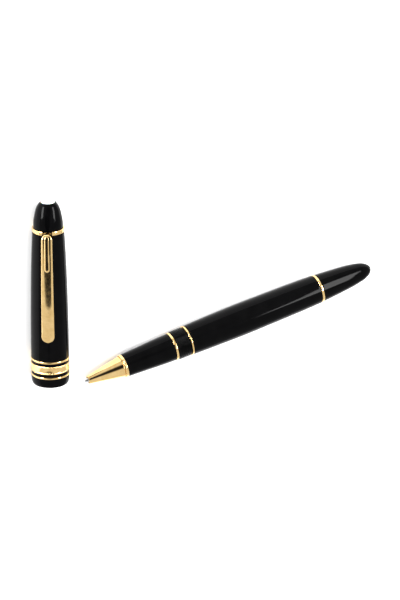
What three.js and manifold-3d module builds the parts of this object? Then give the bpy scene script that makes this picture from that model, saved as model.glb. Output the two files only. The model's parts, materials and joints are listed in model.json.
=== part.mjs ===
// A screw-cap rollerball pen, laid open on a flat surface: the pen body along +X and its cap beside it.
// Millimetres, +Z up. The origin is the bottom centre of the whole object's bounding box.
//
// Two working frames are used, each with its own +Y along the axis of what is turned there:
//   the pen frame, whose Y is the distance s from the front face of the nose cone towards the tail;
//   the cap frame, whose Y is the height h above the rim of the cap, with the clip on its +Z side.

import * as THREE from 'three';
import { mergeVertices } from 'three/addons/utils/BufferGeometryUtils.js';
import Module from 'manifold-3d';

const wasm = await Module();
wasm.setup();

// ---- Driving dimensions ---------------------------------------------------------------------

const SIDES = 28; // sides of an outer turned piece; a multiple of 4, so one edge lies at the bottom
const INNER_SIDES = 24; // of the hidden sleeves and threads
const REFILL_SIDES = 12; // of the refill's pieces and the small studs
const FIT = 0.05; // radial gap between two pieces pressed or glued together

// Stations along the pen, from the front face of the nose cone.
const PEN = {
  coneEnd: 12.85,
  noseRing: [13.05, 14.05],
  tenonEnd: 19.5,
  sectionStart: 14.1,
  sectionEnd: 32.35,
  frontRing: [32.4, 33.15],
  collar: [33.2, 38.4],
  middleRing: [38.45, 39.0],
  barrelStart: 39.05,
  spigotEnd: 45.0,
  linerEnd: 83.6,
  barrelEnd: 90.3,
  rearRing: [90.45, 91.3],
  tailStart: 91.35,
  studThread: [85.5, 89.9],
  studEnd: 96.0,
  springSeat: [104.0, 104.6],
  domeStart: 107.8,
  tailEnd: 112.5,
};
const BARREL_RADIUS = 5.745; // at the thickest point of the barrel
const NOSE_RADIUS = 1.52; // just behind the front face
const CONE_RADIUS = 3.82; // back end of the nose cone
const SECTION_RADIUS = 4.96; // back end of the grip
const SPIGOT_RADIUS = 4.4; // part of the grip that carries the collar and enters the barrel
const FRONT_RING_RADIUS = 5.14;
const MIDDLE_RING_RADIUS = 5.47;
const REAR_RING_RADIUS = 5.16;
const DOME_RADIUS = 3.42; // where the tail's rounded end starts
const LINER_RADIUS = 4.1;

// Refill: stations as for the pen.
const REFILL = {
  noseStart: 3.3,
  tipEnd: 6.5,
  shoulder: 12.4,
  noseEnd: 13.8,
  tube: [13.9, 94.7],
  noseSpigotEnd: 15.5,
  wick: [15.7, 93.7],
  plugStart: 93.9,
  end: 96.1,
};
const REFILL_RADIUS = 2.95;
const REFILL_WALL = 0.27;
const REFILL_BORE = 3.2; // clear way for the refill through the pen
const BALL_RADIUS = 0.35;
const BALL_CENTRE = -0.95; // the ball stands in front of the nose cone's face
const SPRING = { radius: 2.45, wireRadius: 0.25, turns: 6.5, clearance: 0.2 };

// Threads: right-handed, the same wave on both sides with a radial clearance between them.
const THREAD_CLEARANCE = 0.15;
const THREAD_ROWS = 3; // rows of vertices to one pitch
const CAP_THREAD = { pitch: 0.8, root: 5.02, depth: 0.28 };
const TAIL_THREAD = { pitch: 1.0, root: 3.55, depth: 0.3 };

// Heights in the cap, from its rim.
const CAP = {
  skirtStart: 1.25,
  lipEnd: 3.35,
  lowerRing: [3.4, 4.05],
  lowerSpacer: [4.1, 5.2],
  wideBand: [5.25, 8.05],
  upperSpacer: [8.1, 9.1],
  upperRing: [9.15, 9.85],
  threadEnd: 6.45,
  insertEnd: 9.6,
  shellStart: 9.9,
  innerCap: [17.0, 50.0],
  chamberEnd: 50.3,
  bush: [50.4, 57.05],
  stud: [51.2, 62.0],
  shellEnd: 55.55,
  clipRing: [55.7, 57.1],
  finialStart: 57.2,
  recessFloor: 65.2,
  inlayEdge: 66.2,
  top: 66.85,
};
const CAP_RADIUS = 6.64; // shell just above the rings
const BEAD_RADIUS = 6.76; // raised edges of the wide band
const THIN_RING_RADIUS = 6.72;
const SPACER_RADIUS = 6.54;
const SKIRT_RADIUS = 6.2; // thin lower wall of the shell, under the rings
const SKIRT_BORE = 5.8;
const RIM_BORE = 5.4;
const STUD_RADIUS = 2.1; // of the crown's stud
const INLAY_RADIUS = 2.4;

// Clip.
const CLIP_TIP = 17.6; // height of its free end
const CLIP_HEAD_RADIUS = 1.85;
const CLIP_END_RADIUS = 2.2;
const CLIP_HEAD_CENTRE = 55.0;
const CLIP_PAD_FACE = 6.9; // distance of the pad's flat face from the cap's axis
const CLIP_RIDGE = { halfWidth: 0.75, from: 43.6, to: 56.0, rise: 0.22 };
const NOTCH_HALF_WIDTH = 1.8; // notch in the clip ring that the clip's root passes through

// How the two halves lie on the surface.
const CAP_TURN = THREE.MathUtils.degToRad(77.3); // cap's axis from +X, rim to crown
const CAP_DIP = THREE.MathUtils.degToRad(1.0); // the crown is slimmer, so it lies lower
const CLIP_ROLL = THREE.MathUtils.degToRad(-26.6); // clip from straight up, about the cap's axis
const RIM_CENTRE = { x: -13.6, y: 5.57 }; // from the front face of the nose cone

// ---- Materials ------------------------------------------------------------------------------

function material(color, roughness, metalness) {
  return new THREE.MeshStandardMaterial({ color, roughness, metalness });
}

const RESIN = material(0x08080a, 0.08, 0);
const GOLD = material(0xe2b765, 0.12, 1);
const BRASS = material(0xb59a55, 0.35, 1);
const STEEL = material(0xb9bcc0, 0.25, 1);
const IVORY = material(0xf2f1ea, 0.25, 0);
const WHITE_PLASTIC = material(0xdedfdc, 0.4, 0);
const BLACK_PLASTIC = material(0x141416, 0.45, 0);
const INK_FIBRE = material(0x11131f, 0.9, 0);

// ---- Shape helpers --------------------------------------------------------------------------

const pairs = (points) => points.map((point) => [point.x, point.y]);

// Points on a smooth curve through the given [radius, station] pairs.
function smooth(through, steps) {
  const knots = through.map(([radius, station]) => new THREE.Vector2(radius, station));
  return pairs(new THREE.SplineCurve(knots).getPoints(steps));
}

// A solid of revolution about +Y. The outline of [radius, station] pairs runs anticlockwise, and either
// closes on itself or starts and ends on the axis.
function turned(outline, sides = SIDES) {
  const points = outline.map(([radius, station]) => new THREE.Vector2(radius, station));
  const hollow = points[0].x > 0;
  if (hollow) {
    points.push(points[0].clone());
  }
  return new THREE.LatheGeometry(points, sides);
}

// A plain sleeve with slightly rounded outer edges.
function ring([from, to], bore, radius, edge = 0.1) {
  return turned([
    [bore, from],
    [radius - edge, from],
    [radius, from + edge],
    [radius, to - edge],
    [radius - edge, to],
    [bore, to],
  ]);
}

// A plain sleeve that other pieces hide.
function sleeve([from, to], bore, radius, sides = INNER_SIDES) {
  return turned([[bore, from], [radius, from], [radius, to], [bore, to]], sides);
}

// Stations for a wall that will carry a thread.
function threadRows(radius, from, to, pitch) {
  const rows = Math.ceil(((to - from) / pitch) * THREAD_ROWS);
  return Array.from({ length: rows + 1 }, (_, row) => [radius, from + ((to - from) * row) / rows]);
}

// Raises a right-handed helical wave on the wall at wallRadius. An external thread runs out to its root
// at both ends, and an internal one opens to its full depth.
function cutThread(geometry, { wallRadius, from, to, pitch, depth, internal }) {
  const position = geometry.attributes.position;
  const runOut = pitch / 2;
  const endWave = internal ? 1 : 0;
  for (let i = 0; i < position.count; i += 1) {
    const x = position.getX(i);
    const y = position.getY(i);
    const z = position.getZ(i);
    const onWall = Math.abs(Math.hypot(x, z) - wallRadius) < 1e-4 && y > from - 1e-4 && y < to + 1e-4;
    if (onWall) {
      const turn = Math.atan2(x, z) / (2 * Math.PI);
      const wave = 0.5 - 0.5 * Math.cos(2 * Math.PI * (y / pitch - turn));
      const strength = THREE.MathUtils.clamp(Math.min(y - from, to - y) / runOut, 0, 1);
      const height = depth * THREE.MathUtils.lerp(endWave, wave, strength);
      const scale = (wallRadius + height) / wallRadius;
      position.setX(i, x * scale);
      position.setZ(i, z * scale);
    }
  }
  return geometry;
}

function toSolid(geometry) {
  const bare = geometry.clone();
  bare.deleteAttribute('normal');
  bare.deleteAttribute('uv');
  const merged = mergeVertices(bare, 1e-4);
  return new wasm.Manifold(
    new wasm.Mesh({
      numProp: 3,
      vertProperties: new Float32Array(merged.attributes.position.array),
      triVerts: new Uint32Array(merged.index.array),
    }),
  );
}

function toGeometry(solid) {
  const mesh = solid.getMesh();
  const geometry = new THREE.BufferGeometry();
  geometry.setAttribute('position', new THREE.BufferAttribute(new Float32Array(mesh.vertProperties), 3));
  geometry.setIndex(new THREE.BufferAttribute(new Uint32Array(mesh.triVerts), 1));
  geometry.computeVertexNormals();
  return geometry;
}

// A box between two corners.
function block(low, high) {
  const size = new THREE.Vector3(...high).sub(new THREE.Vector3(...low));
  const middle = new THREE.Vector3(...high).add(new THREE.Vector3(...low)).multiplyScalar(0.5);
  return new THREE.BoxGeometry(size.x, size.y, size.z).translate(middle.x, middle.y, middle.z);
}

function extruded(shape, depth) {
  return new THREE.ExtrudeGeometry(shape, { depth, bevelEnabled: false, curveSegments: 10 });
}

function place(group, name, geometry, look) {
  const mesh = new THREE.Mesh(geometry, look);
  mesh.name = name;
  group.add(mesh);
}

// ---- Nose, grip and barrel (pen frame) ------------------------------------------------------

function noseCone() {
  const tenonRadius = 3.5;
  const tenonBore = 3.1;
  const frontBore = 1.25;
  const taperStart = 2.2;
  const taperEnd = 11.8;
  return turned([
    [frontBore, 0],
    [NOSE_RADIUS - 0.1, 0],
    [NOSE_RADIUS, 0.12],
    [CONE_RADIUS, PEN.coneEnd],
    [tenonRadius, PEN.coneEnd],
    [tenonRadius, PEN.tenonEnd],
    [tenonBore, PEN.tenonEnd],
    [tenonBore, taperEnd],
    [frontBore, taperStart],
  ]);
}

function frontSection() {
  const { sectionStart, sectionEnd } = PEN;
  const grip = smooth([[4.12, sectionStart], [4.42, 20.4], [4.74, 26.3], [SECTION_RADIUS, sectionEnd]], 7);
  const tenonSocket = 3.55;
  const socketEnd = PEN.tenonEnd + 0.3;
  return turned([
    ...grip,
    [SPIGOT_RADIUS, sectionEnd],
    [SPIGOT_RADIUS, PEN.spigotEnd],
    [REFILL_BORE, PEN.spigotEnd],
    [REFILL_BORE, socketEnd],
    [tenonSocket, socketEnd],
    [tenonSocket, sectionStart],
  ]);
}

function threadCollar() {
  const [from, to] = PEN.collar;
  const { pitch, root, depth } = CAP_THREAD;
  const bore = SPIGOT_RADIUS + FIT;
  const body = turned([[bore, from], ...threadRows(root, from, to, pitch), [bore, to]]);
  return cutThread(body, { wallRadius: root, from, to, pitch, depth, internal: false });
}

function barrelShell() {
  const { barrelStart, barrelEnd } = PEN;
  const outside = smooth(
    [[5.4, barrelStart], [5.59, 46.8], [BARREL_RADIUS, 60.1], [5.57, 75], [5.4, 84.0], [5.2, barrelEnd]],
    11,
  );
  const endGap = 0.2;
  const insertBore = 4.3;
  const linerBore = LINER_RADIUS + FIT;
  const spigotBore = SPIGOT_RADIUS + FIT;
  return turned([
    ...outside,
    [insertBore, barrelEnd],
    [insertBore, PEN.linerEnd + endGap],
    [linerBore, PEN.linerEnd + endGap],
    [linerBore, PEN.spigotEnd + endGap],
    [spigotBore, PEN.spigotEnd + endGap],
    [spigotBore, barrelStart],
  ]);
}

function rearThreadInsert() {
  const { pitch, root, depth } = TAIL_THREAD;
  const wall = root + THREAD_CLEARANCE;
  const from = PEN.linerEnd + 0.3;
  const to = PEN.barrelEnd;
  const outer = 4.25;
  const rows = threadRows(wall, from, to, pitch).reverse();
  const body = turned([[outer, from], [outer, to], ...rows], INNER_SIDES);
  return cutThread(body, { wallRadius: wall, from, to, pitch, depth, internal: true });
}

// ---- Tail (pen frame) -----------------------------------------------------------------------

function tailStud() {
  const { pitch, root, depth } = TAIL_THREAD;
  const [from, to] = PEN.studThread;
  const shoulderRadius = root + depth;
  const shoulderStart = PEN.barrelEnd + 0.1;
  const outline = [
    [REFILL_BORE, from],
    ...threadRows(root, from, to, pitch),
    [root, shoulderStart],
    [shoulderRadius, shoulderStart],
    [shoulderRadius, PEN.studEnd],
    [REFILL_BORE, PEN.studEnd],
  ];
  const body = turned(outline, INNER_SIDES);
  return cutThread(body, { wallRadius: root, from, to, pitch, depth, internal: false });
}

function tailCap() {
  const { tailStart, domeStart, studEnd } = PEN;
  const taper = smooth([[5.08, tailStart], [4.66, 97.3], [4.11, 103.3], [DOME_RADIUS, domeStart]], 6);
  const dome = new THREE.CubicBezierCurve(
    new THREE.Vector2(DOME_RADIUS, domeStart),
    new THREE.Vector2(2.9, 110.4),
    new THREE.Vector2(1.6, PEN.tailEnd),
    new THREE.Vector2(0, PEN.tailEnd),
  );
  const studBore = TAIL_THREAD.root + TAIL_THREAD.depth + FIT;
  const springBore = 3.15;
  const springBoreEnd = 104.9;
  const studSeat = studEnd + 0.1;
  const outside = [...taper, ...pairs(dome.getPoints(6)).slice(1)];
  const inside = [
    [0, springBoreEnd],
    [springBore, springBoreEnd],
    [springBore, studSeat],
    [studBore, studSeat],
    [studBore, tailStart],
  ];
  // Starts and ends on the axis, by way of the mouth.
  return turned([...inside, ...outside]);
}

// ---- Refill and its spring (pen frame) ------------------------------------------------------

function refillTip() {
  const socket = BALL_RADIUS + 0.04;
  const socketFloor = BALL_CENTRE + 0.4;
  const lip = BALL_CENTRE - 0.1;
  const lipRadius = 0.47;
  const channel = 0.18;
  const bodyRadius = 1.05;
  const shankRadius = 0.95;
  const bodyStations = [1.1, REFILL.noseStart - 0.1];
  const outline = [
    [socket, lip],
    [lipRadius, lip],
    [bodyRadius, bodyStations[0]],
    [bodyRadius, bodyStations[1]],
    [shankRadius, bodyStations[1]],
    [shankRadius, REFILL.tipEnd],
    [channel, REFILL.tipEnd],
    [channel, socketFloor + 0.05],
    [socket, socketFloor],
  ];
  return turned(outline, REFILL_SIDES);
}

function writingBall() {
  return new THREE.SphereGeometry(BALL_RADIUS, 12, 8).translate(0, BALL_CENTRE, 0);
}

function refillNose() {
  const { noseStart, noseEnd, noseSpigotEnd, shoulder } = REFILL;
  const spigot = REFILL_RADIUS - REFILL_WALL - FIT;
  const bore = 1.0;
  const chamfer = 0.2;
  const outline = [
    [bore, noseStart],
    [bore + 0.3, noseStart],
    [REFILL_RADIUS - chamfer, shoulder - 2 * chamfer],
    [REFILL_RADIUS, shoulder],
    [REFILL_RADIUS, noseEnd],
    [spigot, noseEnd],
    [spigot, noseSpigotEnd],
    [bore, noseSpigotEnd],
  ];
  return turned(outline, REFILL_SIDES);
}

function refillTube() {
  return sleeve(REFILL.tube, REFILL_RADIUS - REFILL_WALL, REFILL_RADIUS, REFILL_SIDES);
}

function inkWick() {
  const [from, to] = REFILL.wick;
  const radius = 2.6;
  return turned([[0, from], [radius, from], [radius, to], [0, to]], REFILL_SIDES);
}

function refillPlug() {
  const { plugStart, end } = REFILL;
  const spigot = REFILL_RADIUS - REFILL_WALL - FIT;
  const shoulder = REFILL.tube[1] + 0.1;
  const chamfer = 0.2;
  const outline = [
    [0, plugStart],
    [spigot, plugStart],
    [spigot, shoulder],
    [REFILL_RADIUS, shoulder],
    [REFILL_RADIUS, end - chamfer],
    [REFILL_RADIUS - chamfer, end],
    [0, end],
  ];
  return turned(outline, REFILL_SIDES);
}

class Helix extends THREE.Curve {
  constructor(radius, from, to, turns) {
    super();
    Object.assign(this, { radius, from, to, turns });
  }

  getPoint(t, target = new THREE.Vector3()) {
    const angle = 2 * Math.PI * this.turns * t;
    const y = THREE.MathUtils.lerp(this.from, this.to, t);
    return target.set(this.radius * Math.sin(angle), y, this.radius * Math.cos(angle));
  }
}

function refillSpring() {
  const { radius, wireRadius, turns, clearance } = SPRING;
  const stepsPerTurn = 10;
  const from = REFILL.end + clearance + wireRadius;
  const to = PEN.springSeat[0] - 0.15 - wireRadius;
  const wire = new THREE.Shape();
  wire.absarc(0, 0, wireRadius, 0, 2 * Math.PI);
  return new THREE.ExtrudeGeometry(wire, {
    steps: Math.round(turns * stepsPerTurn),
    curveSegments: 3,
    extrudePath: new Helix(radius, from, to, turns),
  });
}

// ---- Cap (cap frame) ------------------------------------------------------------------------

function capLip() {
  const bore = SKIRT_RADIUS + FIT;
  const ledge = CAP.skirtStart - 0.15;
  const rimRadius = 5.85;
  return turned([
    [RIM_BORE, 0],
    [rimRadius, 0],
    [6.15, 0.25],
    [6.42, 0.9],
    [6.56, 1.9],
    [6.62, CAP.lipEnd],
    [bore, CAP.lipEnd],
    [bore, ledge],
    [RIM_BORE, ledge],
  ]);
}

function wideBand() {
  const [from, to] = CAP.wideBand;
  const bore = SKIRT_RADIUS + FIT;
  const field = BEAD_RADIUS - 0.1;
  return turned([
    [bore, from],
    [field, from],
    [BEAD_RADIUS, from + 0.15],
    [BEAD_RADIUS, from + 0.4],
    [field, from + 0.55],
    [field, to - 0.55],
    [BEAD_RADIUS, to - 0.4],
    [BEAD_RADIUS, to - 0.15],
    [field, to],
    [bore, to],
  ]);
}

function capShell() {
  const { skirtStart, shellStart, shellEnd, chamberEnd } = CAP;
  const bushBore = 4.5;
  const edge = 0.15;
  const outside = smooth(
    [[CAP_RADIUS, shellStart + edge], [6.56, 20], [6.41, 30], [6.17, 40], [5.88, 48.5], [5.53, shellEnd]],
    9,
  );
  const chamber = smooth([[4.95, chamberEnd], [5.25, 40], [5.5, 30], [5.62, 20], [5.66, 10]], 4);
  return turned([
    [SKIRT_BORE, skirtStart],
    [SKIRT_RADIUS, skirtStart],
    [SKIRT_RADIUS, shellStart],
    [CAP_RADIUS - 0.1, shellStart],
    ...outside,
    [bushBore, shellEnd],
    [bushBore, chamberEnd],
    ...chamber,
    [SKIRT_BORE, CAP.insertEnd + 0.1],
  ]);
}

function capThreadInsert() {
  const { pitch, root, depth } = CAP_THREAD;
  const wall = root + THREAD_CLEARANCE;
  const from = CAP.skirtStart;
  const to = CAP.threadEnd;
  const end = CAP.insertEnd;
  const outer = SKIRT_BORE - FIT;
  const rows = threadRows(wall, from, to, pitch).reverse();
  const inside = [[wall + depth, end], [wall + depth, to + 0.05], ...rows];
  const body = turned([[outer, from], [outer, end], ...inside], INNER_SIDES);
  return cutThread(body, { wallRadius: wall, from, to, pitch, depth, internal: true });
}

function innerCap() {
  const [mouth, crown] = CAP.innerCap;
  const outer = 4.85;
  const floor = crown - 0.8;
  const mouthBore = 4.55;
  const bore = 4.3;
  const step = [24.4, 25.0];
  const outline = [
    [0, floor],
    [bore, floor],
    [bore, step[1]],
    [mouthBore, step[0]],
    [mouthBore, mouth],
    [outer, mouth],
    [outer, crown],
    [0, crown],
  ];
  return turned(outline, INNER_SIDES);
}

function clipRing() {
  const [from, to] = CAP.clipRing;
  const band = toSolid(ring(CAP.clipRing, 4.5, 5.6));
  const notch = toSolid(block([-NOTCH_HALF_WIDTH, from - 1, 2], [NOTCH_HALF_WIDTH, to + 1, 8]));
  return toGeometry(band.subtract(notch));
}

// The crown, with a short key that fills the top of the clip ring's notch.
function finial() {
  const outside = smooth(
    [[5.14, CAP.finialStart], [5.09, 58.9], [4.89, 60.4], [4.24, 63.4], [3.3, 65.4], [2.55, 66.12]],
    9,
  );
  const recessEdge = 66.15;
  const studBore = STUD_RADIUS + FIT;
  const studBoreEnd = CAP.stud[1] + 0.2;
  const crown = toSolid(
    turned([
      [0, studBoreEnd],
      [studBore, studBoreEnd],
      [studBore, CAP.finialStart],
      ...outside,
      [INLAY_RADIUS + FIT, recessEdge],
      [INLAY_RADIUS + FIT, CAP.recessFloor],
      [0, CAP.recessFloor],
    ]),
  );
  const key = toSolid(block([-1.5, 56.97, 4.6], [1.5, CAP.finialStart + 0.3, 5.1]));
  return toGeometry(crown.add(key));
}

function finialInlay() {
  const dome = smooth([[INLAY_RADIUS, CAP.inlayEdge], [1.9, 66.5], [1.1, 66.76], [0, CAP.top]], 4);
  const base = CAP.recessFloor + 0.1;
  return turned([[0, base], [INLAY_RADIUS, base], ...dome]);
}

// Side view of the clip as [distance from the cap's axis, height], from its root round by its free end.
function clipSide() {
  const root = 5.0;
  const rootHeights = [55.85, 56.75];
  const head = [[6.0, rootHeights[1]], [6.9, 56.35], [7.5, 55.0], [7.78, 52]];
  const tongue = [[7.92, 45], [7.95, 36], [7.88, 25], [8.05, CLIP_TIP]];
  const back = [[7.2, 24.8], [7.22, 36], [7.12, 46], [6.85, 52], [6.5, 55.0], [6.15, rootHeights[0]]];
  const pad = [[CLIP_PAD_FACE, 21.3], [CLIP_PAD_FACE, 23.9]];
  const outline = [
    [root, rootHeights[1]],
    ...smooth([...head, ...tongue], 24),
    [7.5, CLIP_TIP - 0.1],
    [7.2, 20.6],
    ...pad,
    ...smooth(back, 14),
    [root, rootHeights[0]],
  ];
  return new THREE.Shape(outline.map(([z, h]) => new THREE.Vector2(z, h)));
}

// Clip: its side view, extruded across, cut to its front view.
function clip() {
  const side = clipSide();
  const front = new THREE.Shape();
  front.absarc(0, CLIP_HEAD_CENTRE, CLIP_HEAD_RADIUS, 0, Math.PI);
  front.absarc(0, CLIP_TIP + CLIP_END_RADIUS, CLIP_END_RADIUS, Math.PI, 2 * Math.PI);
  const body = acrossClip(side, CLIP_END_RADIUS + 1).intersect(throughClip(front));

  const { halfWidth, from, to, rise } = CLIP_RIDGE;
  const ridgeFront = new THREE.Shape();
  ridgeFront.absarc(0, to - halfWidth, halfWidth, 0, Math.PI);
  ridgeFront.absarc(0, from + halfWidth, halfWidth, Math.PI, 2 * Math.PI);
  const ridge = acrossClip(side, halfWidth + 1).translate([0, 0, rise]).intersect(throughClip(ridgeFront));
  return toGeometry(body.add(ridge));
}

// Extrudes a side view, drawn as (distance from the cap's axis, height), across the clip.
function acrossClip(shape, halfWidth) {
  return toSolid(extruded(shape, 2 * halfWidth).translate(0, 0, -halfWidth).rotateY(-Math.PI / 2));
}

// Extrudes a front view, drawn as (x, height), through the clip's depth.
function throughClip(shape) {
  return toSolid(extruded(shape, 6).translate(0, 0, 4));
}

// ---- Assembly -------------------------------------------------------------------------------

const penBody = new THREE.Group();
const skirtBore = SKIRT_RADIUS + FIT;
place(penBody, 'nose_cone', noseCone(), GOLD);
place(penBody, 'nose_trim_ring', ring(PEN.noseRing, 3.55, 4.22), GOLD);
place(penBody, 'front_section', frontSection(), RESIN);
place(penBody, 'front_trim_ring', ring(PEN.frontRing, SPIGOT_RADIUS + FIT, FRONT_RING_RADIUS), GOLD);
place(penBody, 'thread_collar', threadCollar(), RESIN);
place(penBody, 'middle_trim_ring', ring(PEN.middleRing, SPIGOT_RADIUS + FIT, MIDDLE_RING_RADIUS), GOLD);
place(penBody, 'barrel_shell', barrelShell(), RESIN);
place(penBody, 'barrel_liner', sleeve([PEN.spigotEnd + 0.4, PEN.linerEnd], 3.75, LINER_RADIUS), BRASS);
place(penBody, 'rear_thread_insert', rearThreadInsert(), BRASS);
place(penBody, 'rear_trim_ring', ring(PEN.rearRing, 3.9, REAR_RING_RADIUS), GOLD);
place(penBody, 'tail_stud', tailStud(), BRASS);
place(penBody, 'tail_cap', tailCap(), RESIN);
place(penBody, 'spring_seat', sleeve(PEN.springSeat, 1.2, 3.05, REFILL_SIDES), WHITE_PLASTIC);
place(penBody, 'refill_spring', refillSpring(), STEEL);
place(penBody, 'refill_plug', refillPlug(), BLACK_PLASTIC);
place(penBody, 'refill_tube', refillTube(), WHITE_PLASTIC);
place(penBody, 'ink_wick', inkWick(), INK_FIBRE);
place(penBody, 'refill_nose', refillNose(), BLACK_PLASTIC);
place(penBody, 'refill_tip', refillTip(), STEEL);
place(penBody, 'writing_ball', writingBall(), STEEL);
penBody.rotation.z = -Math.PI / 2;
penBody.position.z = BARREL_RADIUS;

const cap = new THREE.Group();
place(cap, 'cap_lip', capLip(), RESIN);
place(cap, 'lower_thin_ring', ring(CAP.lowerRing, skirtBore, THIN_RING_RADIUS, 0.15), GOLD);
place(cap, 'lower_spacer', sleeve(CAP.lowerSpacer, skirtBore, SPACER_RADIUS, SIDES), RESIN);
place(cap, 'wide_band', wideBand(), GOLD);
place(cap, 'upper_spacer', sleeve(CAP.upperSpacer, skirtBore, SPACER_RADIUS, SIDES), RESIN);
place(cap, 'upper_thin_ring', ring(CAP.upperRing, skirtBore, THIN_RING_RADIUS, 0.15), GOLD);
place(cap, 'cap_shell', capShell(), RESIN);
place(cap, 'cap_thread_insert', capThreadInsert(), BRASS);
place(cap, 'inner_cap', innerCap(), BLACK_PLASTIC);
place(cap, 'crown_bush', sleeve(CAP.bush, STUD_RADIUS + 0.2, 4.4), BRASS);
place(cap, 'clip_ring', clipRing(), GOLD);
place(cap, 'clip', clip(), GOLD);
place(cap, 'finial', finial(), RESIN);
place(cap, 'finial_inlay', finialInlay(), IVORY);
place(cap, 'finial_stud', sleeve(CAP.stud, 0.6, STUD_RADIUS, REFILL_SIDES), BRASS);
cap.rotation.set(-CAP_DIP, CLIP_ROLL, CAP_TURN - Math.PI / 2, 'ZXY');

// The cap's axis height that brings its lowest point to the surface, with the shell's own curve.
const touchPoints = [[THIN_RING_RADIUS, CAP.upperRing[1]], [6.41, 30], [6.17, 40]];
const reaches = touchPoints.map(([radius, h]) => h * Math.sin(CAP_DIP) + radius * Math.cos(CAP_DIP));
cap.position.set(RIM_CENTRE.x, RIM_CENTRE.y, Math.max(...reaches));

// ---- Whole object, moved so that its bounding box stands on the origin ----------------------

const pen = new THREE.Group();
pen.add(penBody, cap);
pen.updateMatrixWorld(true);
const bounds = new THREE.Box3().setFromObject(pen, true);
const centre = bounds.getCenter(new THREE.Vector3());
pen.position.set(-centre.x, -centre.y, -bounds.min.z);

export default pen;
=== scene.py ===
"""A screw-cap rollerball pen lying open beside its cap: the looks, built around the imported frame.

Outlines are in millimetres, in one of two working frames that have +Y along what is turned there:
the pen frame, whose Y is the distance from the nose cone's front face towards the tail, and the cap
frame, whose Y is the height above the cap's rim, with the clip on its +Z side.
"""

import json
import math

import bpy
from mathutils import Matrix, Vector


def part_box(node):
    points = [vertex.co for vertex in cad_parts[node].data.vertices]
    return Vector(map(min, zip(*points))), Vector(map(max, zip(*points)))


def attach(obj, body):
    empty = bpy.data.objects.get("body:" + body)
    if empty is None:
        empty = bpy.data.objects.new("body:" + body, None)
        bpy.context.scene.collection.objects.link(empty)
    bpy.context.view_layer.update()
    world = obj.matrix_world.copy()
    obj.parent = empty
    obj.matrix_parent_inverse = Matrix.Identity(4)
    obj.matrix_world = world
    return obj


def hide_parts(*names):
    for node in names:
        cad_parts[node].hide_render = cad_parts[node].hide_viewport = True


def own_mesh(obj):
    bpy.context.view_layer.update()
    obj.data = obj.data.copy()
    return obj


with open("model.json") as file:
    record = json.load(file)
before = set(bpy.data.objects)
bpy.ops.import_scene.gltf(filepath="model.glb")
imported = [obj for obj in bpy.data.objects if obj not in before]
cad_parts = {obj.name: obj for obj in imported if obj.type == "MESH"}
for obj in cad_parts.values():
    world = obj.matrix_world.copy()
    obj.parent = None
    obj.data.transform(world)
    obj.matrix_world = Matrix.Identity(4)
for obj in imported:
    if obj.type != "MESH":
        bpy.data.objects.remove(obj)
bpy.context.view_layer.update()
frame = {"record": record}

MM = 0.001
SIDES = 144  # round a turned piece
THREAD_ROWS = 14  # rows of vertices to one pitch
SHARP = math.radians(38)
PLACE = "place"  # each point's position in its working frame, which the materials read

# How the cap lies, as in the frame.
CAP_TURN = math.radians(77.3)
CAP_DIP = math.radians(1.0)
CLIP_ROLL = math.radians(-26.6)
BAND_MIDDLE = 6.65  # height of the wide band's middle above the rim

# Driving sizes that several pieces share.
FIT = 0.05
SPIGOT = 4.4
SKIRT = 6.2
REFILL = 2.95
REFILL_BORE = 3.2
CAP_THREAD = {"pitch": 0.8, "root": 5.02, "depth": 0.28}
TAIL_THREAD = {"pitch": 1.0, "root": 3.55, "depth": 0.3}
THREAD_CLEARANCE = 0.15
OUTER_CREST = 1.4  # power that narrows the crests of an outer thread
INNER_CREST = 0.8  # power that widens those of an inner one
RING_RADIUS = 5.6  # of the clip ring
RING_GAP_HALF_WIDTH = 1.75  # of the gap in the clip ring that the clip passes through
KEY_HALF_WIDTH = 1.7  # of the crown's key in that gap
HEAD_CLEARANCE = 0.12  # between the key and the clip's head

# Camera, from its angles round the point that it looks at.
CAMERA_ELEVATION = 56.93
CAMERA_AZIMUTH = -147.33
CAMERA_ROLL = 130.23
CAMERA_DISTANCE = 1.1214
CAMERA_LENS = 192.0
CAMERA_AIM = Vector((0.0002, -0.0192, 0.006))

# The openings of the white tent that lights the pen: each one's direction, and the angles in degrees
# that its edge fades over. The camera looks through the first, and the second lies towards the point.
TENT_OPENINGS = (
    ((-0.2, 0.45, 0.88), (10, 30)),
    ((-0.47, 0.07, 0.88), (18.6, 19.8)),
)
TENT_WALL = 0.92
TENT_DARK = 0.02


# ---- Working frames ---------------------------------------------------------------------------

def pen_frame():
    """From the pen frame to the row frame."""
    nose_low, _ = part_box("nose_cone")
    low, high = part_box("barrel_shell")
    middle = (low + high) / 2
    origin = Vector((nose_low.x, middle.y, middle.z))
    return Matrix.Translation(origin) @ Matrix.Rotation(math.radians(-90), 4, "Z")


def cap_frame():
    """From the cap frame to the row frame."""
    low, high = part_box("wide_band")
    turn = Matrix.Rotation(CAP_TURN - math.radians(90), 4, "Z")
    dip = Matrix.Rotation(-CAP_DIP, 4, "X")
    roll = Matrix.Rotation(CLIP_ROLL, 4, "Y")
    rotation = turn @ dip @ roll
    rim = (low + high) / 2 - rotation @ Vector((0, BAND_MIDDLE * MM, 0))
    return Matrix.Translation(rim) @ rotation


PEN = pen_frame()
CAP = cap_frame()


# ---- Outlines ---------------------------------------------------------------------------------

def smooth(knots, steps=7):
    """Points on a Catmull-Rom curve through the knots, with this many steps to each span."""
    points = []
    last = len(knots) - 1
    for i in range(last):
        a, b, c, d = (Vector(knots[max(0, min(last, i + k))]) for k in (-1, 0, 1, 2))
        start, end = (c - a) / 2, (d - b) / 2
        for k in range(steps):
            t = k / steps
            cube = (2 * b - 2 * c + start + end) * t ** 3
            square = (3 * c - 3 * b - 2 * start - end) * t ** 2
            points.append(tuple(cube + square + start * t + b))
    points.append(tuple(knots[last]))
    return points


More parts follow.
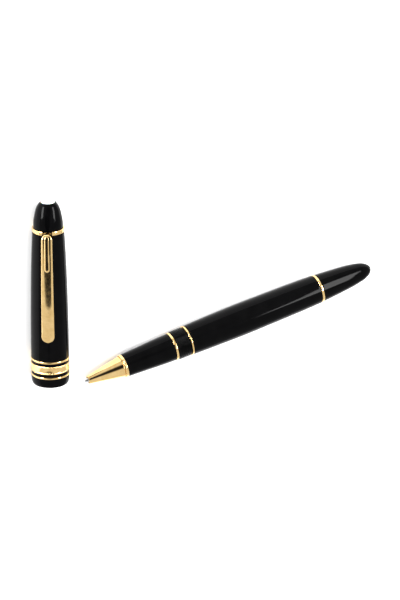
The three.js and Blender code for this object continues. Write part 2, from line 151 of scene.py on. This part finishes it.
def rounded(outline, radius, steps=4, least_turn=math.radians(20)):
    """The outline with each of its corners cut by a small curve."""
    hollow = outline[0][0] > 0
    count = len(outline)
    most = 0.45  # share of an edge that one corner may take
    made = []
    for i, point in enumerate(outline):
        here = Vector(point)
        before = Vector(outline[i - 1])
        after = Vector(outline[(i + 1) % count])
        at_end = not hollow and i in (0, count - 1)
        if at_end or (here - before).angle(after - here, 0) < least_turn:
            made.append(tuple(here))
            continue
        cut_in = min(radius, most * (before - here).length)
        cut_out = min(radius, most * (after - here).length)
        start = here + (before - here).normalized() * cut_in
        end = here + (after - here).normalized() * cut_out
        for k in range(steps + 1):
            t = k / steps
            made.append(tuple(start * (1 - t) ** 2 + here * (2 * t * (1 - t)) + end * t ** 2))
    return made


def sleeve(span, bore, radius):
    """Outline of a plain sleeve."""
    low, high = span
    return [(bore, low), (radius, low), (radius, high), (bore, high)]


def rows(radius, low, high, pitch):
    """Stations for a wall that carries a thread."""
    count = math.ceil((high - low) / pitch * THREAD_ROWS)
    return [(radius, low + (high - low) * i / count) for i in range(count + 1)]


def thread(thread_size, wall, low, high, internal=False):
    """A rule that raises a right-handed thread on the wall at that radius."""
    pitch, depth = thread_size["pitch"], thread_size["depth"]

    def raise_wave(radius, station, angle):
        if abs(radius - wall) > 1e-4 or not low - 1e-4 <= station <= high + 1e-4:
            return radius
        wave = 0.5 - 0.5 * math.cos(2 * math.pi * (station / pitch - angle / (2 * math.pi)))
        crest = wave ** (INNER_CREST if internal else OUTER_CREST)
        strength = max(0.0, min(1.0, min(station - low, high - station) / (pitch / 2)))
        end_wave = 1.0 if internal else 0.0
        return wall + depth * (end_wave + (crest - end_wave) * strength)

    return raise_wave


# ---- Meshes -----------------------------------------------------------------------------------

def finish_mesh(name, vertices, faces, place):
    """A smooth-shaded object from points in millimetres in a working frame."""
    local = [Vector(v) * MM for v in vertices]
    mesh = bpy.data.meshes.new(name)
    mesh.from_pydata([place @ v for v in local], [], faces)
    mesh.polygons.foreach_set("use_smooth", [True] * len(mesh.polygons))
    mesh.set_sharp_from_angle(angle=SHARP)
    own_place = mesh.attributes.new(PLACE, "FLOAT_VECTOR", "POINT")
    own_place.data.foreach_set("vector", [number for v in local for number in v])
    mesh.validate()
    piece = bpy.data.objects.new(name, mesh)
    bpy.context.scene.collection.objects.link(piece)
    weighted = piece.modifiers.new("weighted_normal", "WEIGHTED_NORMAL")
    weighted.keep_sharp = True
    return piece


def lathe(name, outline, place, sides=SIDES, rule=None):
    """A solid turned about +Y. The outline runs anticlockwise; it closes on itself, or starts and ends
    on the axis. A rule(radius, station, angle) may change each point's radius."""
    hollow = outline[0][0] > 0
    vertices = []
    rings = []
    for radius, station in outline:
        if radius < 1e-9:
            rings.append([len(vertices)] * sides)
            vertices.append((0, station, 0))
            continue
        rings.append(list(range(len(vertices), len(vertices) + sides)))
        for i in range(sides):
            angle = 2 * math.pi * i / sides
            r = rule(radius, station, angle) if rule else radius
            vertices.append((r * math.sin(angle), station, r * math.cos(angle)))
    if hollow:
        rings.append(rings[0])
    faces = []
    for ring, following in zip(rings, rings[1:]):
        for i in range(sides):
            k = (i + 1) % sides
            corners = [ring[i], ring[k], following[k], following[i]]
            faces.append(list(dict.fromkeys(corners)))
    return finish_mesh(name, vertices, faces, place)


def part_lathe(name, outline, place, half_gap, sides=SIDES):
    """A closed outline turned about +Y, with a gap on its +Z side."""
    count = len(outline)
    vertices = []
    for i in range(sides + 1):
        angle = half_gap + (2 * math.pi - 2 * half_gap) * i / sides
        vertices += [(r * math.sin(angle), s, r * math.cos(angle)) for r, s in outline]
    faces = [list(range(count))[::-1]]
    for i in range(sides):
        for j in range(count):
            k = (j + 1) % count
            a, b = i * count, (i + 1) * count
            faces.append([a + j, b + j, b + k, a + k])
    faces.append([sides * count + j for j in range(count)])
    return finish_mesh(name, vertices, faces, place)


def swept(name, path, radius, place, sides=12):
    """A round wire along a path of points, with closed ends."""
    vertices = []
    for i, point in enumerate(path):
        here = Vector(point)
        ahead = Vector(path[min(i + 1, len(path) - 1)]) - Vector(path[max(i - 1, 0)])
        across = ahead.cross(Vector((0, 1, 0))).normalized()
        other = across.cross(ahead).normalized()
        for k in range(sides):
            angle = 2 * math.pi * k / sides
            sideways = across * radius * math.cos(angle)
            upwards = other * radius * math.sin(angle)
            vertices.append(tuple(here + sideways + upwards))
    faces = [list(range(sides))]
    for i in range(len(path) - 1):
        for k in range(sides):
            m = (k + 1) % sides
            a, b = i * sides, (i + 1) * sides
            faces.append([a + k, b + k, b + m, a + m])
    faces.append([(len(path) - 1) * sides + k for k in range(sides)][::-1])
    return finish_mesh(name, vertices, faces, place)


# ---- Materials --------------------------------------------------------------------------------

class Surface:
    """A Principled surface whose colour, roughness and relief come from noise in the piece's own space."""

    def __init__(self, name, **constants):
        self.material = bpy.data.materials.new(name)
        self.material.use_nodes = True
        self.tree = self.material.node_tree
        self.shader = self.tree.nodes["Principled BSDF"]
        for socket, value in constants.items():
            self.shader.inputs[socket.replace("_", " ")].default_value = value
        attribute = self.tree.nodes.new("ShaderNodeAttribute")
        attribute.attribute_name = PLACE
        self.place = attribute.outputs["Vector"]
        self.normal = None

    def noise(self, scale, stretch=(1, 1, 1), detail=4.0):
        mapping = self.tree.nodes.new("ShaderNodeMapping")
        mapping.inputs["Scale"].default_value = stretch
        noise = self.tree.nodes.new("ShaderNodeTexNoise")
        noise.inputs["Scale"].default_value = scale
        noise.inputs["Detail"].default_value = detail
        self.tree.links.new(self.place, mapping.inputs["Vector"])
        self.tree.links.new(mapping.outputs["Vector"], noise.inputs["Vector"])
        return noise.outputs["Fac"]

    def colour(self, factor, dark, light):
        ramp = self.tree.nodes.new("ShaderNodeValToRGB")
        low, high = ramp.color_ramp.elements
        low.position, high.position = 0.3, 0.7
        low.color, high.color = (*dark, 1), (*light, 1)
        self.tree.links.new(factor, ramp.inputs["Fac"])
        self.tree.links.new(ramp.outputs["Color"], self.shader.inputs["Base Color"])
        return self

    def roughness(self, factor, low, high):
        spread = self.tree.nodes.new("ShaderNodeMapRange")
        spread.inputs["From Min"].default_value = 0.3
        spread.inputs["From Max"].default_value = 0.7
        spread.inputs["To Min"].default_value = low
        spread.inputs["To Max"].default_value = high
        self.tree.links.new(factor, spread.inputs["Value"])
        self.tree.links.new(spread.outputs["Result"], self.shader.inputs["Roughness"])
        return self

    def relief(self, factor, strength, height):
        bump = self.tree.nodes.new("ShaderNodeBump")
        bump.inputs["Strength"].default_value = strength
        bump.inputs["Distance"].default_value = height
        self.tree.links.new(factor, bump.inputs["Height"])
        if self.normal:
            self.tree.links.new(self.normal, bump.inputs["Normal"])
        self.normal = bump.outputs["Normal"]
        self.tree.links.new(self.normal, self.shader.inputs["Normal"])
        return self


HAIRLINES = (1, 0.04, 1)  # stretches noise along the piece
RINGS = (0.02, 1, 0.02)  # stretches noise round the piece, as turning marks are


def black_resin():
    """Cast and polished resin: near black, with faint clouding and the finest handling marks."""
    look = Surface("black_resin", IOR=1.5, Specular_IOR_Level=0.045)
    look.colour(look.noise(260), (0.0006, 0.0006, 0.0007), (0.0012, 0.0012, 0.0013))
    look.roughness(look.noise(420, detail=8.0), 0.04, 0.09)
    look.relief(look.noise(5200, HAIRLINES), 0.05, 0.00002)
    return look.relief(look.noise(90), 0.05, 0.0002).material


def gold_plate():
    """Polished gold plating: warm, with slight waviness from polishing and a little wear in its gloss."""
    look = Surface("gold_trim", Metallic=1.0)
    look.colour(look.noise(420), (0.80, 0.535, 0.215), (0.90, 0.645, 0.300))
    look.roughness(look.noise(900, detail=8.0), 0.05, 0.11)
    look.relief(look.noise(3800, RINGS), 0.03, 0.00001)
    return look.relief(look.noise(170), 0.012, 0.0001).material


def turned_brass():
    """Unplated brass straight off the lathe."""
    look = Surface("brass", Metallic=1.0)
    look.colour(look.noise(500), (0.47, 0.33, 0.12), (0.64, 0.47, 0.20))
    look.roughness(look.noise(1200), 0.22, 0.40)
    return look.relief(look.noise(6000, RINGS), 0.25, 0.00004).material


def bright_steel():
    """Drawn and ground steel."""
    look = Surface("steel", Metallic=1.0)
    look.colour(look.noise(700), (0.50, 0.51, 0.53), (0.66, 0.67, 0.68))
    look.roughness(look.noise(1500), 0.16, 0.30)
    return look.relief(look.noise(7000, RINGS), 0.15, 0.00003).material


def ivory():
    """The crown's inlay: a warm white resin with a soft inner glow."""
    look = Surface("ivory_inlay", Subsurface_Weight=0.15, Subsurface_Scale=0.001, IOR=1.48)
    look.colour(look.noise(700), (0.68, 0.67, 0.63), (0.76, 0.75, 0.72))
    look.roughness(look.noise(1100), 0.10, 0.20)
    return look.relief(look.noise(2500), 0.05, 0.00003).material


def moulded(name, dark, light):
    """Satin moulded plastic with a fine spark-eroded grain."""
    look = Surface(name, IOR=1.49)
    look.colour(look.noise(600), dark, light)
    look.roughness(look.noise(900), 0.34, 0.50)
    return look.relief(look.noise(9000), 0.20, 0.00004).material


def ink_fibre():
    """Bundled fibres along the refill, soaked with ink."""
    look = Surface("ink_fibre", Sheen_Weight=0.2)
    look.colour(look.noise(3000, HAIRLINES), (0.006, 0.008, 0.022), (0.02, 0.026, 0.07))
    look.roughness(look.noise(3000, HAIRLINES), 0.7, 0.9)
    return look.relief(look.noise(5000, HAIRLINES), 0.6, 0.0001).material


def studio_floor():
    """A matt white sweep with a barely visible tooth."""
    look = Surface("floor", IOR=1.3)
    look.colour(look.noise(30), (0.86, 0.86, 0.86), (0.88, 0.88, 0.88))
    look.roughness(look.noise(60), 0.85, 0.95)
    return look.relief(look.noise(1500), 0.05, 0.0001).material


LOOKS = {
    "black_resin": black_resin(),
    "gold_trim": gold_plate(),
    "brass": turned_brass(),
    "steel": bright_steel(),
    "ivory_inlay": ivory(),
    "white_plastic": moulded("white_plastic", (0.66, 0.67, 0.65), (0.74, 0.75, 0.73)),
    "black_plastic": moulded("black_plastic", (0.009, 0.009, 0.010), (0.018, 0.018, 0.020)),
    "ink_fibre": ink_fibre(),
}
NODE_BODY = {node: body for body, nodes in frame["record"]["behaviour"]["bodies"].items() for node in nodes}
NODE_SLOT = {part["node"]: part["material_slot"] for part in frame["record"]["subparts"]}


def stands_for(piece, node):
    """The piece takes its CAD node's place: its body, its slot and that slot's material."""
    slot = NODE_SLOT[node]
    piece.data.materials.append(LOOKS[slot])
    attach(piece, NODE_BODY[node])
    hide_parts(node)
    return piece


def turned(node, outline, place, corner=0.08, **options):
    """A turned piece in place of its CAD node."""
    return stands_for(lathe(f"fine_{node}", rounded(outline, corner), place, **options), node)


# ---- Nose, grip and barrel --------------------------------------------------------------------

def nose_cone():
    outline = [
        (1.25, 0), (1.42, 0), (1.52, 0.12), *smooth([(1.6, 0.6), (2.68, 6.6), (3.78, 12.6)], 6),
        (3.82, 12.85), (3.5, 12.85), (3.5, 19.5), (3.1, 19.5), (3.1, 11.8), (1.25, 2.2),
    ]
    turned("nose_cone", outline, PEN)


def nose_trim_ring():
    """A thin collar with a fine groove along its middle."""
    low, high = 13.05, 14.05
    groove = (low + high) / 2
    outline = [
        (3.55, low), (4.14, low), (4.22, low + 0.12), (4.22, groove - 0.1), (4.15, groove),
        (4.22, groove + 0.1), (4.22, high - 0.12), (4.14, high), (3.55, high),
    ]
    turned("nose_trim_ring", outline, PEN, corner=0.06)


def front_section():
    grip = smooth([(4.12, 14.1), (4.42, 20.4), (4.74, 26.3), (4.96, 32.35)])
    outline = [
        *grip, (SPIGOT, 32.35), (SPIGOT, 45.0), (REFILL_BORE, 45.0), (REFILL_BORE, 19.8),
        (3.55, 19.8), (3.55, 14.1),
    ]
    turned("front_section", outline, PEN)


def thread_collar():
    low, high = 33.2, 38.4
    root = CAP_THREAD["root"]
    outline = [(SPIGOT + FIT, low), *rows(root, low, high, CAP_THREAD["pitch"]), (SPIGOT + FIT, high)]
    piece = lathe("fine_thread_collar", outline, PEN, rule=thread(CAP_THREAD, root, low, high))
    stands_for(piece, "thread_collar")


def barrel_shell():
    outside = smooth([(5.4, 39.05), (5.59, 46.8), (5.745, 60.1), (5.57, 75), (5.4, 84.0), (5.2, 90.3)])
    outline = [
        *outside, (4.3, 90.3), (4.3, 83.8), (4.15, 83.8), (4.15, 45.2), (SPIGOT + FIT, 45.2),
        (SPIGOT + FIT, 39.05),
    ]
    turned("barrel_shell", outline, PEN)


def body_rings():
    """The plain gold rings round the grip and the barrel."""
    bore = SPIGOT + FIT
    turned("front_trim_ring", sleeve((32.4, 33.15), bore, 5.14), PEN, corner=0.16)
    turned("middle_trim_ring", sleeve((38.45, 39.0), bore, 5.47), PEN, corner=0.14)
    turned("rear_trim_ring", sleeve((90.45, 91.3), 3.9, 5.16), PEN, corner=0.18)


def barrel_liner():
    turned("barrel_liner", sleeve((45.4, 83.6), 3.75, 4.1), PEN)


def rear_thread_insert():
    low, high = 83.9, 90.3
    wall = TAIL_THREAD["root"] + THREAD_CLEARANCE
    outline = [(4.25, low), (4.25, high), *reversed(rows(wall, low, high, TAIL_THREAD["pitch"]))]
    rule = thread(TAIL_THREAD, wall, low, high, internal=True)
    stands_for(lathe("fine_rear_thread_insert", outline, PEN, rule=rule), "rear_thread_insert")


# ---- Tail -------------------------------------------------------------------------------------

def tail_stud():
    low, high = 85.5, 89.9
    root = TAIL_THREAD["root"]
    shoulder = root + TAIL_THREAD["depth"]
    outline = [
        (REFILL_BORE, low), *rows(root, low, high, TAIL_THREAD["pitch"]), (root, 90.4),
        (shoulder, 90.4), (shoulder, 96.0), (REFILL_BORE, 96.0),
    ]
    stands_for(lathe("fine_tail_stud", outline, PEN, rule=thread(TAIL_THREAD, root, low, high)), "tail_stud")


def tail_cap():
    taper = smooth([(5.08, 91.35), (4.66, 97.3), (4.11, 103.3), (3.42, 107.8)])
    dome = [dome_point(i / 14) for i in range(1, 15)]
    inside = [(0, 104.9), (3.15, 104.9), (3.15, 96.1), (3.9, 96.1), (3.9, 91.35)]
    turned("tail_cap", [*inside, *taper, *dome], PEN)


def dome_point(t):
    """A point on the cubic curve that closes the tail's end."""
    a, b, c, d = (Vector(p) for p in ((3.42, 107.8), (2.9, 110.4), (1.6, 112.5), (0, 112.5)))
    point = a * (1 - t) ** 3 + b * 3 * t * (1 - t) ** 2 + c * 3 * t ** 2 * (1 - t) + d * t ** 3
    return (point.x, point.y)


# ---- Refill and its spring --------------------------------------------------------------------

def refill_tip():
    outline = [
        (0.36, -1.05), (0.42, -1.1), (0.47, -1.05), (1.05, 1.1), (1.05, 3.2), (0.95, 3.2), (0.95, 6.5),
        (0.18, 6.5), (0.18, -0.5), (0.39, -0.55),
    ]
    turned("refill_tip", outline, PEN, corner=0.05, sides=96)


def writing_ball():
    """The ball in front of the refill's tip, as rings between its two poles."""
    radius, centre, count = 0.35, -0.95, 24
    angles = [math.pi * i / count - math.pi / 2 for i in range(count + 1)]
    outline = [(radius * math.cos(a), centre + radius * math.sin(a)) for a in angles]
    outline[0], outline[-1] = (0, centre - radius), (0, centre + radius)
    stands_for(lathe("fine_writing_ball", outline, PEN, sides=48), "writing_ball")


def refill_barrel():
    """The refill's nose, tube, wick and plug."""
    spigot = REFILL - 0.32
    nose = [
        (1.0, 3.3), (1.3, 3.3), (2.75, 12.0), (REFILL, 12.4), (REFILL, 13.8), (spigot, 13.8),
        (spigot, 15.5), (1.0, 15.5),
    ]
    turned("refill_nose", nose, PEN)
    turned("refill_tube", sleeve((13.9, 94.7), REFILL - 0.27, REFILL), PEN)
    turned("ink_wick", [(0, 15.7), (2.6, 15.7), (2.6, 93.7), (0, 93.7)], PEN)
    plug = [
        (0, 93.9), (spigot, 93.9), (spigot, 94.8), (REFILL, 94.8), (REFILL, 95.9), (2.75, 96.1), (0, 96.1),
    ]
    turned("refill_plug", plug, PEN)


def refill_spring():
    """The spring in the tail, as an even helix of round wire."""
    radius, wire, turns, steps = 2.45, 0.25, 6.5, 260
    low, high = 96.55, 103.6
    path = []
    for i in range(steps + 1):
        t = i / steps
        angle = 2 * math.pi * turns * t
        path.append((radius * math.sin(angle), low + (high - low) * t, radius * math.cos(angle)))
    spring = stands_for(swept("fine_refill_spring", path, wire, PEN), "refill_spring")
    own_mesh(spring)
    turned("spring_seat", sleeve((104.0, 104.6), 1.2, 3.05), PEN)


# ---- Cap --------------------------------------------------------------------------------------

def cap_lip():
    outline = [
        (5.4, 0), (5.85, 0), *smooth([(6.15, 0.22), (6.42, 0.9), (6.56, 1.9), (6.62, 3.35)], 5),
        (6.25, 3.35), (6.25, 1.1), (5.4, 1.1),
    ]
    turned("cap_lip", outline, CAP, corner=0.12)


def cap_rings():
    """The two thin gold rings and the black spacers that set them off from the wide band."""
    bore = SKIRT + FIT
    turned("lower_thin_ring", sleeve((3.4, 4.05), bore, 6.72), CAP, corner=0.22)
    turned("lower_spacer", sleeve((4.1, 5.2), bore, 6.54), CAP)
    turned("upper_spacer", sleeve((8.1, 9.1), bore, 6.54), CAP)
    turned("upper_thin_ring", sleeve((9.15, 9.85), bore, 6.72), CAP, corner=0.22)


def wide_band():
    """The wide gold band: a plain field between two edges of fine beads."""
    low, high = 5.25, 8.05
    bore, field, bead = SKIRT + FIT, 6.62, 6.76
    bead_width, beads, sides = 0.5, 84, 672
    valley, roundness = 0.35, 0.6  # height left between two beads, and how full each bead is
    edge = [(math.cos(math.pi * (i / 8 - 0.5)), i / 8) for i in range(9)]
    lower = [(field + (bead - field) * rise, low + bead_width * along) for rise, along in edge]
    upper = [(field + (bead - field) * rise, high - bead_width + bead_width * along) for rise, along in edge]
    outline = [(bore, low), *lower, *upper, (bore, high)]

    def bead_rule(radius, station, angle):
        if radius <= field + 1e-6:
            return radius
        swell = abs(math.sin(beads * angle / 2)) ** roundness
        return field + (radius - field) * (valley + (1 - valley) * swell)

    stands_for(lathe("fine_wide_band", outline, CAP, sides=sides, rule=bead_rule), "wide_band")


def cap_shell():
    outside = smooth([(6.64, 10.05), (6.56, 20), (6.41, 30), (6.17, 40), (5.88, 48.5), (5.53, 55.55)])
    chamber = smooth([(4.95, 50.3), (5.25, 40), (5.5, 30), (5.62, 20), (5.66, 10)], 4)
    outline = [
        (5.8, 1.25), (SKIRT, 1.25), (SKIRT, 9.9), (6.54, 9.9), *outside, (4.5, 55.55), (4.5, 50.3),
        *chamber, (5.8, 9.7),
    ]
    turned("cap_shell", outline, CAP)


def cap_thread_insert():
    low, high, end, outer = 1.25, 6.45, 9.6, 5.75
    wall = CAP_THREAD["root"] + THREAD_CLEARANCE
    open_wall = wall + CAP_THREAD["depth"]
    threaded = reversed(rows(wall, low, high, CAP_THREAD["pitch"]))
    inside = [(open_wall, end), (open_wall, high + FIT), *threaded]
    rule = thread(CAP_THREAD, wall, low, high, internal=True)
    piece = lathe("fine_cap_thread_insert", [(outer, low), (outer, end), *inside], CAP, rule=rule)
    stands_for(piece, "cap_thread_insert")


def inner_cap():
    outline = [
        (0, 49.2), (4.3, 49.2), (4.3, 25.0), (4.55, 24.4), (4.55, 17.0), (4.85, 17.0), (4.85, 50.0),
        (0, 50.0),
    ]
    turned("inner_cap", outline, CAP)


def crown():
    """The crown with its inlay, and the bush and stud that hold it."""
    outside = smooth([(5.14, 57.2), (5.09, 58.9), (4.89, 60.4), (4.24, 63.4), (3.3, 65.4), (2.55, 66.12)])
    recess = 2.45
    outline = [
        (0, 62.2), (2.15, 62.2), (2.15, 57.2), *outside, (recess, 66.15), (recess, 65.2), (0, 65.2),
    ]
    finial = lathe("fine_finial", rounded(outline, 0.08), CAP)
    stands_for(with_key(finial), "finial")
    dome = smooth([(2.4, 66.2), (1.9, 66.5), (1.1, 66.76), (0, 66.85)])
    turned("finial_inlay", [(0, 65.3), (2.4, 65.3), *dome], CAP)
    turned("crown_bush", sleeve((50.4, 57.05), 2.3, 4.4), CAP)
    turned("finial_stud", sleeve((51.2, 62.0), 0.6, 2.1), CAP)


def with_key(finial):
    """Adds the crown's key, which fills the gap in the clip ring and clears the clip's round head."""
    high, inner, outer = 57.25, 4.55, 5.52
    half_angle = math.asin(KEY_HALF_WIDTH / RING_RADIUS)
    arch = HEAD_RADIUS + HEAD_CLEARANCE
    steps = 24
    vertices = []
    for i in range(steps + 1):
        angle = half_angle * (2 * i / steps - 1)
        low = HEAD_CENTRE + math.sqrt(arch ** 2 - (inner * math.sin(angle)) ** 2)
        for radius, height in ((inner, low), (outer, low), (outer, high), (inner, high)):
            vertices.append((radius * math.sin(angle), height, radius * math.cos(angle)))
    faces = [[3, 2, 1, 0], [steps * 4 + k for k in range(4)]]
    for i in range(steps):
        for j in range(4):
            k = (j + 1) % 4
            a, b = i * 4, (i + 1) * 4
            faces.append([a + j, a + k, b + k, b + j])
    key = finish_mesh("key", vertices, faces, CAP)
    joined = {"active_object": finial, "object": finial, "selected_editable_objects": [finial, key]}
    with bpy.context.temp_override(**joined):
        bpy.ops.object.join()
    return finial


def clip_ring():
    half_gap = math.asin(RING_GAP_HALF_WIDTH / RING_RADIUS)
    outline = rounded(sleeve((55.7, 57.1), 4.5, RING_RADIUS), 0.3)
    stands_for(part_lathe("fine_clip_ring", outline, CAP, half_gap), "clip_ring")


# ---- Clip -------------------------------------------------------------------------------------

HEAD_RADIUS = 1.85
HEAD_CENTRE = 55.0
TIP_RADIUS = 2.2
TIP_CENTRE = 19.8
RIDGE_HALF_WIDTH = 0.75
RIDGE_LOW = 44.35
RIDGE_HIGH = 55.3
RIDGE_RISE = 0.2
RIDGE_EDGE = 0.16  # width that the tongue's side rises over
RIDGE_END = 56.3  # the tongue stops here, at the bend into the crown


def clip_half_width(height):
    """Half the clip's width, seen from the front, with round ends."""
    if height > HEAD_CENTRE:
        return math.sqrt(max(0.0, HEAD_RADIUS ** 2 - (height - HEAD_CENTRE) ** 2))
    if height < TIP_CENTRE:
        return math.sqrt(max(0.0, TIP_RADIUS ** 2 - (TIP_CENTRE - height) ** 2))
    share = (HEAD_CENTRE - height) / (HEAD_CENTRE - TIP_CENTRE)
    return HEAD_RADIUS + share * (TIP_RADIUS - HEAD_RADIUS)


def along(knots, count):
    """Evenly spaced points on a smooth curve through [distance from the axis, height] knots."""
    points = [Vector(p) for p in smooth(knots, 16)]
    lengths = [0.0]
    for a, b in zip(points, points[1:]):
        lengths.append(lengths[-1] + (b - a).length)
    made = []
    k = 0
    for i in range(count):
        want = lengths[-1] * i / (count - 1)
        while k < len(points) - 2 and lengths[k + 1] < want:
            k += 1
        share = (want - lengths[k]) / (lengths[k + 1] - lengths[k])
        made.append(points[k].lerp(points[k + 1], min(1.0, share)))
    return made


def clip_stations():
    """Pairs of points on the clip's outer and inner side, from its root to its tip."""
    bend = 40
    shank = 200
    end = 44
    outer = along([(5.05, 56.7), (6.0, 56.7), (6.9, 56.35), (7.45, 55.3)], bend)
    bow = [(7.45, 55.3), (7.62, 52), (7.78, 45), (7.88, 38), (7.93, 33), (7.94, 30), (7.9, 26)]
    outer += along(bow, shank)[1:]
    outer += along([(7.9, 26), (7.85, 22), (7.8, 19), (7.76, 17.62)], end)[1:]
    inner = along([(5.05, 55.9), (5.8, 55.88), (6.3, 55.7), (6.52, 55.0)], bend)
    inner += along([(6.52, 55.0), (6.85, 52), (7.12, 46), (7.22, 36), (7.22, 26)], shank)[1:]
    inner += along([(7.22, 26), (6.93, 23.2), (6.93, 21.6), (7.25, 19.4), (7.5, 17.62)], end)[1:]
    return list(zip(outer, inner))


def clip_rise(x, height):
    """Height of the narrow raised tongue on the clip's outer side."""
    nearest = min(max(height, RIDGE_LOW), RIDGE_HIGH)
    depth = RIDGE_HALF_WIDTH - math.hypot(x, height - nearest)
    share = max(0.0, min(1.0, depth / RIDGE_EDGE))
    return RIDGE_RISE * share * share * (3 - 2 * share)


def clip():
    """Lofts the clip through its stations, with a crowned outer side and rounded edges."""
    across = 44
    crown_drop = 0.12
    least = 0.12  # half width where the round ends would close to nothing
    edge_power, edge_share = 10, 0.45  # how tight the edge's rounding is, and its share of the thickness
    side, under, tuck = 0.98, 0.86, 0.12  # the side's and the underside's width, and the side's inward step
    vertices = []
    for outer, inner in clip_stations():
        outward = (outer - inner).normalized()
        wide = max(least, clip_half_width(outer.y))
        narrow = max(least, clip_half_width(inner.y)) if outer.y < HEAD_CENTRE else wide
        thick = (outer - inner).length
        section = []
        for k in range(across + 1):
            share = math.sin(math.pi * (k / across - 0.5))
            x = wide * share
            edge = math.sqrt(max(0.0, 1 - min(1.0, abs(share) ** edge_power)))
            level = -crown_drop * share * share - (1 - edge) * (thick * edge_share)
            raised = clip_rise(x, outer.y) if outer.y < RIDGE_END else 0.0
            point = outer + outward * (level + raised)
            section.append((x, point.y, point.x))
        middle = (inner.y + outer.y) / 2
        inset = (inner.x + outer.x) / 2 - tuck * outward.x
        section.append((narrow * side, middle, inset))
        section.append((narrow * under, inner.y, inner.x))
        section.append((-narrow * under, inner.y, inner.x))
        section.append((-narrow * side, middle, inset))
        vertices.append(section)
    count = len(vertices[0])
    faces = [list(range(count))]
    for i in range(len(vertices) - 1):
        for j in range(count):
            k = (j + 1) % count
            a, b = i * count, (i + 1) * count
            faces.append([a + j, b + j, b + k, a + k])
    faces.append([(len(vertices) - 1) * count + j for j in range(count)][::-1])
    points = [point for section in vertices for point in section]
    stands_for(finish_mesh("fine_clip", points, faces, CAP), "clip")


# ---- Studio -----------------------------------------------------------------------------------

def camera_rotation():
    azimuth = Matrix.Rotation(math.radians(CAMERA_AZIMUTH), 4, "Z")
    tilt = Matrix.Rotation(math.radians(90 - CAMERA_ELEVATION), 4, "X")
    roll = Matrix.Rotation(math.radians(CAMERA_ROLL), 4, "Z")
    return azimuth @ tilt @ roll


def camera():
    data = bpy.data.cameras.new("camera")
    data.lens = CAMERA_LENS
    data.clip_end = 20
    eye = bpy.data.objects.new("camera", data)
    bpy.context.scene.collection.objects.link(eye)
    rotation = camera_rotation()
    eye.matrix_world = Matrix.Translation(CAMERA_AIM + rotation @ Vector((0, 0, CAMERA_DISTANCE))) @ rotation
    bpy.context.scene.camera = eye


def floor():
    reach = 3000
    corners = [(-reach, -reach, 0), (reach, -reach, 0), (reach, reach, 0), (-reach, reach, 0)]
    sheet = finish_mesh("floor", corners, [[0, 1, 2, 3]], Matrix.Identity(4))
    sheet.data.materials.append(studio_floor())


def softbox(name, place, size, power, glossy=True):
    """A rectangular light that faces the camera's aim, placed rightwards, upwards and towards the camera
    from there."""
    data = bpy.data.lights.new(name, "AREA")
    data.shape = "RECTANGLE"
    data.size, data.size_y = size
    data.energy = power
    lamp = bpy.data.objects.new(name, data)
    bpy.context.scene.collection.objects.link(lamp)
    offset = Vector(place)
    facing = Matrix.Translation(offset) @ offset.to_track_quat("Z", "Y").to_matrix().to_4x4()
    lamp.matrix_world = Matrix.Translation(CAMERA_AIM) @ camera_rotation() @ facing
    lamp.visible_glossy = glossy


def light_tent():
    """A white tent all round, with dark openings in it."""
    world = bpy.data.worlds.new("light_tent")
    world.use_nodes = True
    tree = world.node_tree
    place = tree.nodes.new("ShaderNodeTexCoord").outputs["Generated"]
    brightness = None
    for direction, (inner, outer) in TENT_OPENINGS:
        across = tree.nodes.new("ShaderNodeVectorMath")
        across.operation = "DOT_PRODUCT"
        across.inputs[1].default_value = Vector(direction).normalized()
        edge = tree.nodes.new("ShaderNodeMapRange")
        edge.interpolation_type = "SMOOTHSTEP"
        edge.inputs["From Min"].default_value = math.cos(math.radians(outer))
        edge.inputs["From Max"].default_value = math.cos(math.radians(inner))
        edge.inputs["To Min"].default_value = TENT_WALL
        edge.inputs["To Max"].default_value = TENT_DARK
        tree.links.new(place, across.inputs[0])
        tree.links.new(across.outputs["Value"], edge.inputs["Value"])
        if brightness is None:
            brightness = edge.outputs["Result"]
            continue
        darker = tree.nodes.new("ShaderNodeMath")
        darker.operation = "MINIMUM"
        tree.links.new(brightness, darker.inputs[0])
        tree.links.new(edge.outputs["Result"], darker.inputs[1])
        brightness = darker.outputs["Value"]
    tree.links.new(brightness, tree.nodes["Background"].inputs["Color"])
    return world


def studio():
    bpy.context.scene.world = light_tent()
    bpy.context.scene.view_settings.view_transform = "Standard"
    softbox("overhead", place=(0.2, -0.1, 1.0), size=(1.2, 1.2), power=11, glossy=False)
    softbox("left", place=(-0.62, 0.1, 0.57), size=(0.56, 0.24), power=12)
    softbox("right", place=(0.64, 0.1, 0.52), size=(0.56, 0.22), power=10)


for make in (
    nose_cone, nose_trim_ring, front_section, thread_collar, barrel_shell, body_rings, barrel_liner,
    rear_thread_insert, tail_stud, tail_cap, refill_tip, writing_ball, refill_barrel, refill_spring,
    cap_lip, cap_rings, wide_band, cap_shell, cap_thread_insert, inner_cap, crown, clip_ring, clip,
    camera, floor, studio,
):
    make()
